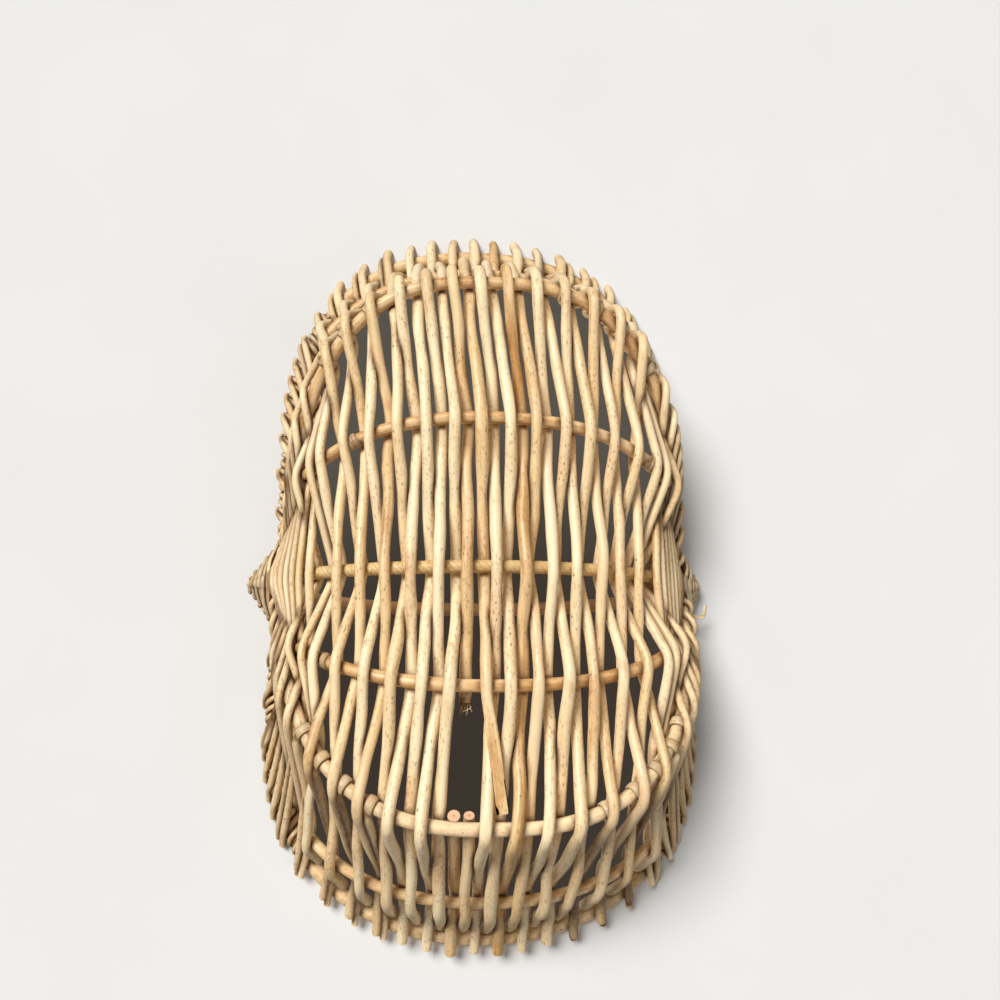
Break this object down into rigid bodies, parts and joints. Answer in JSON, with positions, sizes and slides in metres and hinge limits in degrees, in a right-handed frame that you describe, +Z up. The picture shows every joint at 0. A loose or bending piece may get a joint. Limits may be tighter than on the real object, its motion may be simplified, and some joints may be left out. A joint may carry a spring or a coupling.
{
  "type": "willow gathering basket",
  "caption": "Shallow oval willow basket woven over bent ribs between a rim hoop and a fixed handle hoop, lashed where they cross, for gathering and carrying.",
  "frame": {"origin": "on the floor under the middle of the basket's bounding box, with the basket standing upright on its worn bottom rods", "axes": "+X along the length towards the longer end, +Y across through the two lashings, +Z up towards the handle"},
  "size_m": [0.4898, 0.3038, 0.286],
  "materials": {
    "willow_hoop": "satin",
    "willow_rib": "satin",
    "willow_rod": "satin",
    "willow_weaver": "satin",
    "willow_strip": "satin"
  },
  "bodies": {
    "root": {"rim_hoop": "willow_hoop", "handle_hoop": "willow_hoop", "wall_rib_far": "willow_rib", "end_rib_far": "willow_rib", "bottom_rib_far": "willow_rib", "bottom_rib_near": "willow_rib", "end_rib_near": "willow_rib", "wall_rib_near": "willow_rib", "rod_01": "willow_rod", "rod_02": "willow_rod", "rod_03": "willow_rod", "rod_04": "willow_rod", "rod_05": "willow_rod", "rod_06": "willow_rod", "rod_07": "willow_rod", "rod_08": "willow_rod", "rod_09": "willow_rod", "rod_10": "willow_rod", "rod_11": "willow_rod", "rod_12": "willow_rod", "rod_13": "willow_rod", "rod_14": "willow_rod", "rod_15": "willow_rod", "rod_16": "willow_rod", "rod_17": "willow_rod", "rod_18": "willow_rod", "rod_19": "willow_rod", "rod_20": "willow_rod", "rod_21": "willow_rod", "rod_22": "willow_rod", "rod_23": "willow_rod", "rod_24": "willow_rod", "rod_25": "willow_rod", "rod_26": "willow_rod", "rod_27": "willow_rod", "rod_stub_broken": "willow_rod", "rod_stub_short": "willow_rod", "side_weaver_left_lower": "willow_weaver", "side_weaver_left_upper": "willow_weaver", "side_weaver_right_lower": "willow_weaver", "side_weaver_right_upper": "willow_weaver", "lashing_left": "willow_strip", "lashing_right": "willow_strip"}
  },
  "joints": []
}
